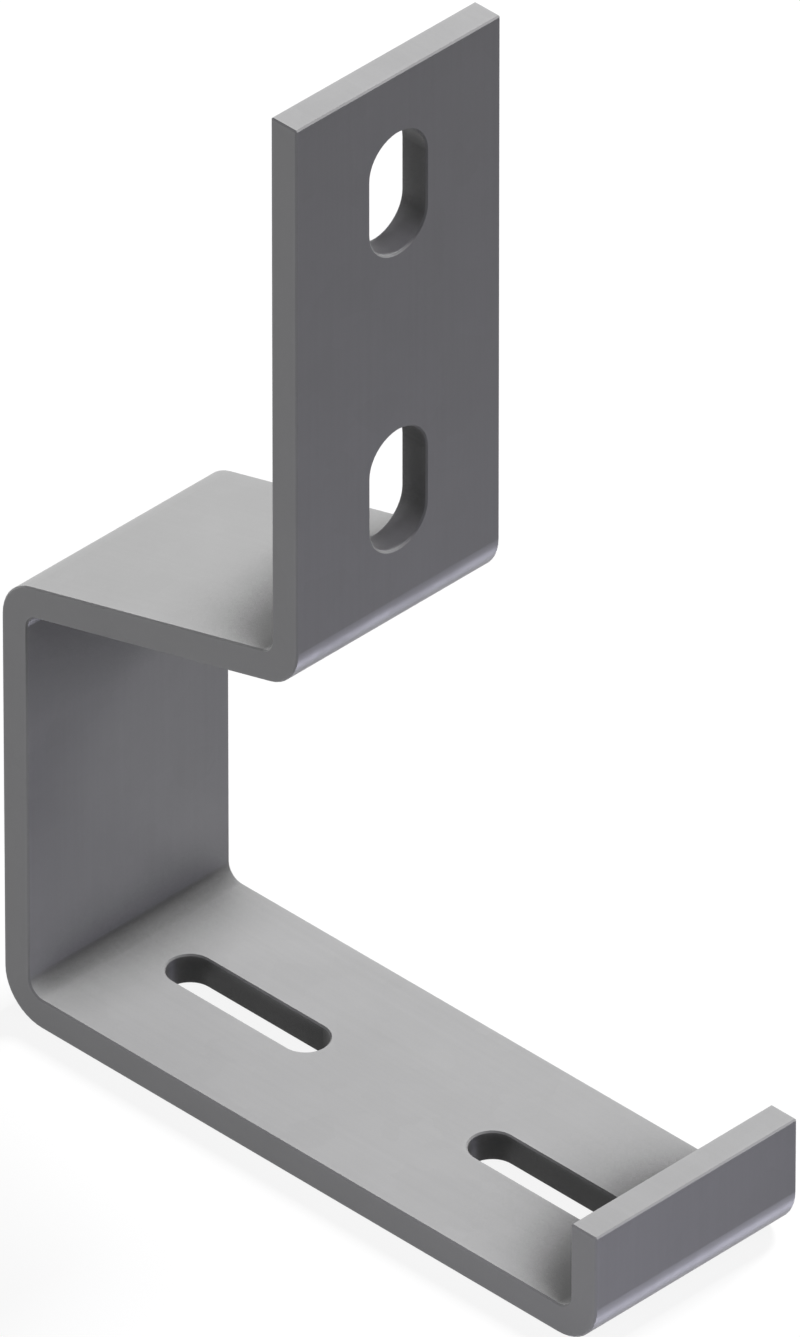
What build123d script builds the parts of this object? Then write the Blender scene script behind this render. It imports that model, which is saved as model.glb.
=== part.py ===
from build123d import *
import math
import os

# A support bracket for cable ladder, folded from one length of flat steel bar.
# Seen from the edge of the bar it is a base with a lip turned up at one end and an
# upright web at the other. From the top of the web a shelf climbs back over the base,
# and a leg stands on the shelf's end, above the middle of the base.
# Sizes are in millimetres. X runs along the base from the web to the lip, Y across the
# bar and Z up. The origin is the middle of the base's underside.

# The flat bar, how it is folded, and the fine chamfer that breaks its edges
THICKNESS = 5.0
WIDTH = 40.0
BEND_INNER_RADIUS = 2.5
EDGE_BREAK = 0.25

# Base, over its outer faces, and lip, from the base's underside
BASE_LENGTH = 117.0
LIP_HEIGHT = 20.0

# Clear height between base and shelf at the web, and the shelf's climb in degrees
CLEAR_HEIGHT = 65.0
SHELF_SLOPE = 15.0

# Leg: its front face from the web's back face, and its height above its own outer corner
LEG_REACH = 58.5
LEG_HEIGHT = 94.0

# Two slots in line along the base: across, end to end, and centre to centre
BASE_SLOT_WIDTH = 7.0
BASE_SLOT_LENGTH = 30.0
BASE_SLOT_PITCH = 60.0

# Two slots one above the other in the leg, the upper one's centre below the leg's top
LEG_SLOT_WIDTH = 11.0
LEG_SLOT_LENGTH = 20.0
LEG_SLOT_PITCH = 50.0
LEG_SLOT_BELOW_TOP = 20.0

# Faces of the upright runs
LIP_FRONT = BASE_LENGTH / 2
LIP_BACK = LIP_FRONT - THICKNESS
WEB_BACK = -BASE_LENGTH / 2
WEB_FRONT = WEB_BACK + THICKNESS
LEG_FRONT = WEB_BACK + LEG_REACH
LEG_BACK = LEG_FRONT - THICKNESS


def shelf_underside(x):
    """Height of the shelf's underside at x, carried on straight past its two bends."""
    climb = math.tan(math.radians(SHELF_SLOPE))
    return THICKNESS + CLEAR_HEIGHT + climb * (x - WEB_FRONT)


def shelf_top(x):
    """Height of the shelf's upper face at x, carried on in the same way."""
    return shelf_underside(x) + THICKNESS / math.cos(math.radians(SHELF_SLOPE))


LEG_TOP = shelf_underside(LEG_FRONT) + LEG_HEIGHT

# Corners of the four bends from the lip to the leg, as (x, z) outside and inside the fold
LIP_BEND = (LIP_FRONT, 0), (LIP_BACK, THICKNESS)
WEB_BEND = (WEB_BACK, 0), (WEB_FRONT, THICKNESS)
SHELF_BEND = (WEB_BACK, shelf_top(WEB_BACK)), (WEB_FRONT, shelf_underside(WEB_FRONT))
LEG_BEND = (LEG_FRONT, shelf_underside(LEG_FRONT)), (LEG_BACK, shelf_top(LEG_BACK))
BENDS = LIP_BEND, WEB_BEND, SHELF_BEND, LEG_BEND


def round_corners(solid, corners, radius):
    """Round the edges that run across the bar at these corners of its outline."""
    chosen = [
        edge
        for edge in solid.edges().filter_by(Axis.Y)
        for x, z in corners
        if math.dist((edge.center().X, edge.center().Z), (x, z)) < THICKNESS / 100
    ]
    return fillet(chosen, radius)


def folded_bar():
    """The bar with its four bends, of one thickness all the way. The leg turns the other way."""
    outline = Polyline(
        (LIP_FRONT, LIP_HEIGHT),
        LIP_BEND[0],
        WEB_BEND[0],
        SHELF_BEND[0],
        LEG_BEND[1],
        (LEG_BACK, LEG_TOP),
        (LEG_FRONT, LEG_TOP),
        LEG_BEND[0],
        SHELF_BEND[1],
        WEB_BEND[1],
        LIP_BEND[1],
        (LIP_BACK, LIP_HEIGHT),
        close=True,
    )
    solid = extrude(Plane.XZ * make_face(outline), amount=WIDTH / 2, both=True)
    solid = round_corners(solid, [outside for outside, _ in BENDS], BEND_INNER_RADIUS + THICKNESS)
    return round_corners(solid, [inside for _, inside in BENDS], BEND_INNER_RADIUS)


def base_slots():
    """Cutters for the two slots along the base, as deep as the bar is thick."""
    slot = extrude(SlotOverall(BASE_SLOT_LENGTH, BASE_SLOT_WIDTH), amount=THICKNESS)
    return [place * slot for place in GridLocations(BASE_SLOT_PITCH, 0, 2, 1)]


def leg_slots():
    """Cutters for the two upright slots, sunk through the leg from its front face."""
    upright = SlotOverall(LEG_SLOT_LENGTH, LEG_SLOT_WIDTH, rotation=90)
    slot = extrude(Plane.YZ * upright, amount=-THICKNESS)
    upper = LEG_TOP - LEG_SLOT_BELOW_TOP
    return [Pos(LEG_FRONT, 0, z) * slot for z in (upper, upper - LEG_SLOT_PITCH)]


def crisp_edges(solid):
    """Edges where two faces meet at an angle, and not those where a bend or an arc begins."""
    crisp = []
    for edge in solid.edges():
        middle = edge @ 0.5
        normals = [face.normal_at(middle) for face in solid.faces() if edge in face.edges()]
        if normals[0].get_angle(normals[1]) > 1:
            crisp.append(edge)
    return crisp


def bracket():
    """The folded bar with its slots, and a fine chamfer on every crisp edge."""
    solid = folded_bar() - base_slots() - leg_slots()
    return chamfer(crisp_edges(solid), EDGE_BREAK)


os.makedirs("parts", exist_ok=True)
export_step(bracket(), "parts/bracket.step")
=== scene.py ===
import math

import bpy
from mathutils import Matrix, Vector

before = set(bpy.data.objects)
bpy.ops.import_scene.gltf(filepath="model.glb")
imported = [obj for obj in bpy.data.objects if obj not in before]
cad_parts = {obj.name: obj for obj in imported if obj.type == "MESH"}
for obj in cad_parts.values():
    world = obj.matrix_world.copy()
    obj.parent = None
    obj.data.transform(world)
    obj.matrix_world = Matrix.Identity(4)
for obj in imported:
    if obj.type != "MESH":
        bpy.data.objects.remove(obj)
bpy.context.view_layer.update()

MM = 0.001
WHITE = (1.0, 1.0, 1.0, 1.0)

# Camera: the photograph is an isometric view, so a very long lens looks along that
# direction from far away, and perspective hardly shows
LENS = 1000.0
SENSOR = 36.0
CLIP_START = 0.1
CLIP_END = 60.0
AZIMUTH = 44.8
ELEVATION = 35.42
DISTANCE = 5170 * MM
AIM = Vector((0.0, 0.25 * MM, 77.7 * MM))

# Weak grey light from all round, next to the lamps
AMBIENT = 0.02

# Softboxes: name, place and aim in millimetres, width and height, power, colour.
# The key stands beside the object, in line with its upright faces, so mostly what faces
# up takes its light. It adds no gloss. The sheen, from below the table, adds nothing but
# gloss, for the light bands on the outer bends, and nothing shades it.
LAMPS = (
    ("key", (0, 1131, 1211), (0, 0, 80), 250, 450, 31.0, (1.0, 1.0, 1.0)),
    ("front_low", (165, -65, 10), (20, 0, 30), 80, 80, 0.0315, (0.84, 0.83, 1.0)),
    ("front_high", (560, 0, 1050), (0, 0, 80), 300, 300, 0.84, (0.87, 0.83, 1.0)),
    ("end_fill", (-150, -1200, 160), (0, 0, 80), 300, 240, 2.68, (0.97, 0.97, 1.0)),
    ("back_fill", (-1200, 0, 150), (0, 0, 80), 500, 300, 1.6, (1.0, 1.0, 1.0)),
    ("under_fill", (0, 0, -1200), (0, 0, 40), 400, 400, 0.8, (1.0, 1.0, 1.0)),
    ("sheen", (439, 1124, -1539), (29, -30, 45), 420, 420, 7.5, (0.815, 0.805, 1.0)),
)
MATT_ONLY = "key"
SHEEN_ONLY = "sheen"

# Table: half its side in metres, and a gap below the object so that the two don't touch.
# It glows nearly white, a little less close to the object, between these distances in
# metres. A grey sheet on it takes light and so shows the shadow, and a darker grey is all
# that the object's faces get light back from
FLOOR_HALF = 12.0
FLOOR_GAP = 0.05 * MM
GLOW_NEAR = 0.35
GLOW_FAR = 1.5
GLOW_LEAST = 0.89
SHEET_GREY = 0.13
BOUNCE_GREY = 0.05

# Steel with a matt zinc coat
BASE_GREY = 0.47
ROUGHNESS = 0.42
SPECULAR = 0.35

# Its layers, in features a metre: rolled grain, drawn out along the bar, fine speckles,
# mottling, and crystals with borders that a noise bends by up to so many metres
GRAIN_STRETCH = (25.0, 1100.0, 25.0)
GRAIN_DETAIL = 3.0
FINE_SCALE = 2600.0
FINE_DETAIL = 2.0
MOTTLE_SCALE = 90.0
MOTTLE_DETAIL = 4.0
CRYSTAL_SCALE = 170.0
BORDER_SCALE = 400.0
BORDER_DETAIL = 1.0
BORDER_BEND = (0.003, 0.003, 0.003)

# The part of each layer's range that counts, and how far it swings the grey and roughness
GRAIN_RANGE = (0.25, 0.75)
SPOT_RANGE = (0.3, 0.7)
CELL_RANGE = (0.0, 1.0)
GRAIN_GREY = 0.010
MOTTLE_GREY = 0.010
CRYSTAL_GREY = 0.008
FINE_GREY = 0.005
ROUGH_SWING = 0.03

# Relief: the shares of grain and speckles in it, how strongly it shows, and its depth
GRAIN_RELIEF = 0.6
FINE_RELIEF = 0.4
RELIEF = 0.25
RELIEF_DEPTH = 0.05 * MM

# Rubbed edges: how far rays into the solid look for other faces, and the shares of them
# that find none where the rub is full and where it ends. Then the mottling's range that
# breaks the rub up, the least that it leaves of it, and how much lighter and smoother the
# rubbed steel is
EDGE_REACH = 0.9 * MM
EDGE_RAYS = 4
EDGE_FULL = 0.45
EDGE_NONE = 0.95
PATCH_RANGE = (0.35, 0.6)
PATCH_LEAST = 0.3
RUB_LIGHTER = 0.05
RUB_SMOOTHER = 0.06

# Painted shade in creases and slots: how far round a spot its walls count, and how
# strongly for faces that look along X, Y and Z, so the slots' long walls turn darkest. Then
# a wider reach that leans to the front and left, less so on faces turned to the back, and
# the share of open sky from which a spot starts to darken to where it is darkest, which
# paints soft dark halos
NEAR_REACH = 14 * MM
NEAR_RAYS = 6
NEAR_STRENGTH = (0.6, 3.5, 0.9)
WIDE_REACH = 34 * MM
WIDE_RAYS = 16
WIDE_LEAN = (1.2, -0.6, 0.8)
WIDE_TURN = 1.25
WIDE_SHUT = 0.62
WIDE_OPEN = 0.885
WIDE_DARKEST = 0.2

# A spot counts as shut in up to the first share of open sky in the near reach, and as free
# from the second
SHUT_IN = 0.85
FREE = 0.95

# Painted shade along the inner bends
BEND_SHADE = 0.4

# Painted shade on the web below the shelf: from this height to the shelf's, how much it
# darkens there, and none above its end
SHADE_FROM = 50 * MM
SHADE_TO = 70 * MM
WEB_SHADE = 0.7
SHADE_END = 80 * MM

# Painted light on the lower walls of the leg's slots: above this height, on faces that
# look up by more than the first share and fully from the second, and how much lighter at
# the leg's back and front
LEG_FROM = 95 * MM
LEG_BACK = -5 * MM
LEG_FRONT = 0.0
LOOKS_UP = (0.2, 0.9)
SLOT_LIGHT_BACK = 1.15
SLOT_LIGHT_FRONT = 2.0


def direction(azimuth, elevation):
    """Unit vector from the object towards a place round it. Azimuth 0 is -Y, 90 is +X."""
    a, e = math.radians(azimuth), math.radians(elevation)
    return Vector((math.sin(a) * math.cos(e), -math.cos(a) * math.cos(e), math.sin(e)))


def look_from(obj, aim, towards, distance):
    """Places an object that faces along its own -Z, such as a camera or an area lamp."""
    obj.location = aim + towards * distance
    obj.rotation_mode = "QUATERNION"
    obj.rotation_quaternion = (-towards).to_track_quat("-Z", "Y")


def make_camera():
    data = bpy.data.cameras.new("camera")
    data.lens = LENS
    data.sensor_width = SENSOR
    data.clip_start = CLIP_START
    data.clip_end = CLIP_END
    camera = bpy.data.objects.new("camera", data)
    bpy.context.scene.collection.objects.link(camera)
    look_from(camera, AIM, direction(AZIMUTH, ELEVATION), DISTANCE)
    bpy.context.scene.camera = camera


def make_lamp(name, place, aim, width, height, power, colour):
    data = bpy.data.lights.new(name, "AREA")
    data.shape = "RECTANGLE"
    data.size = width * MM
    data.size_y = height * MM
    data.energy = power
    data.color = colour
    data.use_shadow = name != SHEEN_ONLY
    lamp = bpy.data.objects.new(name, data)
    bpy.context.scene.collection.objects.link(lamp)
    lamp.visible_camera = False
    lamp.visible_diffuse = name != SHEEN_ONLY
    lamp.visible_glossy = name != MATT_ONLY
    offset = (Vector(place) - Vector(aim)) * MM
    look_from(lamp, Vector(aim) * MM, offset.normalized(), offset.length)


class Graph:
    """A short way to write a node tree."""

    def __init__(self, tree):
        self.tree = tree
        tree.nodes.clear()

    def add(self, kind, settings=None, **inputs):
        """A node with its settings, and its inputs set or linked by name or number."""
        node = self.tree.nodes.new("ShaderNode" + kind)
        for key, value in (settings or {}).items():
            setattr(node, key, value)
        for key, value in inputs.items():
            name = int(key[1:]) if key[0] == "_" else key.replace("_", " ")
            socket = node.inputs[name]
            if isinstance(value, bpy.types.NodeSocket):
                self.tree.links.new(value, socket)
            else:
                socket.default_value = value
        return node

    def math(self, operation, a, b=0.0, clamp=False):
        settings = {"operation": operation, "use_clamp": clamp}
        return self.add("Math", settings, _0=a, _1=b).outputs[0]

    def vector(self, operation, a, b=(0.0, 0.0, 0.0), scale=None):
        node = self.add("VectorMath", {"operation": operation}, _0=a, _1=b)
        if scale is not None:
            self.tree.links.new(scale, node.inputs["Scale"])
        return node.outputs["Vector"]

    def vector_value(self, operation, a, b=(0.0, 0.0, 0.0)):
        """A vector operation that gives a number, such as a length or a dot product."""
        return self.add("VectorMath", {"operation": operation}, _0=a, _1=b).outputs["Value"]

    def separate(self, vector):
        """A vector's parts, by the names X, Y and Z."""
        return self.add("SeparateXYZ", Vector=vector).outputs

    def scaled(self, value, low, high, to_low, to_high, shape="LINEAR"):
        """A value's range mapped onto another range, and held inside it."""
        settings = {"clamp": True, "interpolation_type": shape}
        node = self.add("MapRange", settings, _0=value, _1=low, _2=high, _3=to_low, _4=to_high)
        return node.outputs[0]

    def noise(self, where, scale, detail, stretch=(1.0, 1.0, 1.0)):
        """Noise from 0 to 1, at so many features a metre, stretched along the axes."""
        placed = self.add("Mapping", _0=where, _3=stretch).outputs[0]
        return self.add("TexNoise", Vector=placed, Scale=scale, Detail=detail).outputs[0]

    def varied(self, level, layers):
        """A level swung up and down by layers, each a value, its range and its swing."""
        for value, (low, high), swing in layers:
            level = self.math("ADD", self.scaled(value, low, high, -swing, swing), level)
        return level

    def openness(self, reach, rays, inside=False, **normal):
        """The share of rays, out of a spot or into the solid, that meet no face within reach."""
        settings = {"samples": rays, "only_local": True, "inside": inside}
        return self.add("AmbientOcclusion", settings, Distance=reach, **normal).outputs["AO"]


def seen_rays(graph):
    """1 for rays that the camera sends, straight or by a reflection or through glass."""
    path = graph.add("LightPath").outputs
    seen = graph.math("MAXIMUM", path["Is Camera Ray"], path["Is Glossy Ray"])
    return graph.math("MAXIMUM", seen, path["Is Transmission Ray"])


def make_world():
    """White wherever it is seen, and a weak grey fill as light."""
    world = bpy.data.worlds.new("studio")
    bpy.context.scene.world = world
    world.use_nodes = True
    world.cycles.sampling_method = "NONE"
    graph = Graph(world.node_tree)
    fill = graph.add("Background", Color=WHITE, Strength=AMBIENT)
    white = graph.add("Background", Color=WHITE, Strength=1.0)
    mix = graph.add("MixShader", _0=seen_rays(graph), _1=fill.outputs[0], _2=white.outputs[0])
    graph.add("OutputWorld", Surface=mix.outputs[0])


def grey_colour(grey):
    return (grey, grey, grey, 1.0)


def table_material():
    """Pale and plain where it is seen, with the object's soft shadow, and dull as light."""
    material = bpy.data.materials.new("floor")
    material.use_nodes = True
    graph = Graph(material.node_tree)
    away = graph.vector_value("LENGTH", graph.add("TexCoord").outputs["Object"])
    strength = graph.scaled(away, GLOW_NEAR, GLOW_FAR, GLOW_LEAST, 1.0)
    glow = graph.add("Emission", Color=WHITE, Strength=strength)
    sheet = graph.add("BsdfDiffuse", Color=grey_colour(SHEET_GREY))
    pale = graph.add("AddShader", _0=glow.outputs[0], _1=sheet.outputs[0])
    dull = graph.add("BsdfDiffuse", Color=grey_colour(BOUNCE_GREY))
    mix = graph.add("MixShader", _0=seen_rays(graph), _1=dull.outputs[0], _2=pale.outputs[0])
    graph.add("OutputMaterial", Surface=mix.outputs[0])
    return material


def make_floor():
    """The table, which lets the light of the lamps below it through."""
    mesh = bpy.data.meshes.new("floor")
    signs = ((-1, -1), (1, -1), (1, 1), (-1, 1))
    corners = [(x * FLOOR_HALF, y * FLOOR_HALF, 0) for x, y in signs]
    mesh.from_pydata(corners, [], [(0, 1, 2, 3)])
    floor = bpy.data.objects.new("floor", mesh)
    bpy.context.scene.collection.objects.link(floor)
    floor.location.z = -FLOOR_GAP
    floor.visible_shadow = False
    mesh.materials.append(table_material())


def wide_painted_shade(graph, normal, facing):
    """Painted shade: the share of its grey that a spot keeps by what stands round it in the wide
    reach.
    """
    turned = graph.math("ADD", facing["X"], WIDE_TURN, clamp=True)
    lean = graph.vector("SCALE", WIDE_LEAN, scale=turned)
    leant = graph.vector("NORMALIZE", graph.vector("ADD", normal, lean))
    wide = graph.openness(WIDE_REACH, WIDE_RAYS, Normal=leant)
    # Of the rays round the leant direction, an open flat face stops only those that point
    # below it, and half of one plus the lean's cosine get away
    cosine = graph.vector_value("DOT_PRODUCT", normal, leant)
    flat = graph.math("MULTIPLY", graph.math("ADD", cosine, 1.0), 0.5)
    free = graph.math("DIVIDE", wide, flat)
    return graph.scaled(free, WIDE_SHUT, WIDE_OPEN, WIDE_DARKEST, 1.0, "SMOOTHSTEP")


def bend_painted_shade(graph, facing, shut):
    """Painted shade on shut-in surfaces that slant between upright and level: the inner bends."""
    level = graph.math("ABSOLUTE", facing["Z"])
    slant = graph.math("MULTIPLY", graph.math("ABSOLUTE", facing["X"]), level)
    return graph.math("MULTIPLY", graph.math("MULTIPLY", slant, BEND_SHADE), shut, clamp=True)


def web_painted_shade(graph, facing, height):
    """Painted shade that grows up the web's front and ends at the shelf."""
    rising = graph.scaled(height, SHADE_FROM, SHADE_TO, 0.0, WEB_SHADE)
    darkening = graph.math("MULTIPLY", rising, facing["X"], clamp=True)
    below = graph.scaled(height, SHADE_END, SHADE_END + MM, 1.0, 0.0)
    return graph.math("MULTIPLY", darkening, below)


def painted_slot_light(graph, facing, place, shut):
    """How much painted light lightens a spot: shut in, on the leg and looking up."""
    bright = graph.scaled(place["X"], LEG_BACK, LEG_FRONT, SLOT_LIGHT_BACK, SLOT_LIGHT_FRONT)
    on_leg = graph.scaled(place["Z"], LEG_FROM, LEG_FROM + MM, 0.0, 1.0)
    lit = graph.math("MULTIPLY", graph.math("MULTIPLY", on_leg, shut), bright)
    return graph.math("MULTIPLY", lit, graph.scaled(facing["Z"], *LOOKS_UP, 0.0, 1.0))


def painted_light_and_shade(graph, where):
    """Painted shade and light: 1 on open faces, less in slots, creases, inner bends and below the
    shelf, and more on the leg slots' lower walls.
    """
    normal = graph.add("NewGeometry").outputs["Normal"]
    facing = graph.separate(normal)
    place = graph.separate(where)
    near = graph.openness(NEAR_REACH, NEAR_RAYS)
    squared = graph.vector("MULTIPLY", normal, normal)
    strength = graph.vector_value("DOT_PRODUCT", squared, NEAR_STRENGTH)
    near_share = graph.math("POWER", near, strength)
    share = graph.math("MULTIPLY", near_share, wide_painted_shade(graph, normal, facing), clamp=True)
    shut = graph.scaled(near, SHUT_IN, FREE, 1.0, 0.0)
    # Painted shade along the inner bends and on the web below the shelf
    for shade in (bend_painted_shade(graph, facing, shut), web_painted_shade(graph, facing, place["Z"])):
        share = graph.math("MULTIPLY", share, graph.math("SUBTRACT", 1.0, shade))
    # Painted light on the lower walls of the leg's slots
    return graph.math("MAXIMUM", share, painted_slot_light(graph, facing, place, shut))


def worn_edges(graph, mottle):
    """Up to 1 on the outer edges and 0 a little way in, where handling rubs the coat."""
    inside = graph.openness(EDGE_REACH, EDGE_RAYS, inside=True)
    edge = graph.scaled(inside, EDGE_FULL, EDGE_NONE, 1.0, 0.0)
    return graph.math("MULTIPLY", edge, graph.scaled(mottle, *PATCH_RANGE, PATCH_LEAST, 1.0))


def crystals(graph, where):
    """A number from 0 to 1 for each zinc crystal."""
    noise = graph.add("TexNoise", Vector=where, Scale=BORDER_SCALE, Detail=BORDER_DETAIL)
    shift = graph.vector("MULTIPLY", noise.outputs["Color"], BORDER_BEND)
    bent = graph.vector("ADD", where, shift)
    cells = graph.add("TexVoronoi", {"feature": "F1"}, Vector=bent, Scale=CRYSTAL_SCALE)
    return graph.add("SeparateColor", Color=cells.outputs["Color"]).outputs[0]


def steel():
    """Zinc-coated steel: rolled grain, faint crystals and worn edges, with painted shade in
    creases and slots and painted light on the leg slots' lower walls.
    """
    material = bpy.data.materials.new("zinc_coated_steel")
    material.use_nodes = True
    graph = Graph(material.node_tree)
    where = graph.add("TexCoord").outputs["Object"]
    grain = graph.noise(where, 1.0, GRAIN_DETAIL, GRAIN_STRETCH)
    fine = graph.noise(where, FINE_SCALE, FINE_DETAIL)
    mottle = graph.noise(where, MOTTLE_SCALE, MOTTLE_DETAIL)
    crystal = crystals(graph, where)
    worn = worn_edges(graph, mottle)

    grey_layers = (
        (grain, GRAIN_RANGE, GRAIN_GREY),
        (mottle, SPOT_RANGE, MOTTLE_GREY),
        (crystal, CELL_RANGE, CRYSTAL_GREY),
        (fine, SPOT_RANGE, FINE_GREY),
    )
    # Painted shade in creases, slots, inner bends and below the shelf, and painted light on the
    # leg slots' lower walls, multiply the grey
    grey = graph.math("MULTIPLY", graph.varied(BASE_GREY, grey_layers), painted_light_and_shade(graph, where))
    grey = graph.math("ADD", graph.math("MULTIPLY", worn, RUB_LIGHTER), grey)
    rough_layers = ((grain, GRAIN_RANGE, ROUGH_SWING), (crystal, CELL_RANGE, ROUGH_SWING))
    rough = graph.varied(ROUGHNESS, rough_layers)
    rough = graph.math("SUBTRACT", rough, graph.math("MULTIPLY", worn, RUB_SMOOTHER))

    grain_height = graph.math("MULTIPLY", grain, GRAIN_RELIEF)
    fine_height = graph.math("MULTIPLY", fine, FINE_RELIEF)
    height = graph.math("ADD", grain_height, fine_height)
    bump = graph.add("Bump", Strength=RELIEF, Distance=RELIEF_DEPTH, Height=height)
    shader = graph.add(
        "BsdfPrincipled",
        Base_Color=graph.add("CombineColor", _0=grey, _1=grey, _2=grey).outputs[0],
        Roughness=rough,
        Specular_IOR_Level=SPECULAR,
        Normal=bump.outputs[0],
    )
    graph.add("OutputMaterial", Surface=shader.outputs[0])
    return material


def dress_bracket():
    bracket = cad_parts["bracket"]
    bracket.material_slots[0].material = steel()


make_camera()
make_world()
make_floor()
for lamp in LAMPS:
    make_lamp(*lamp)
dress_bracket()

scene = bpy.context.scene
scene.view_settings.view_transform = "Standard"
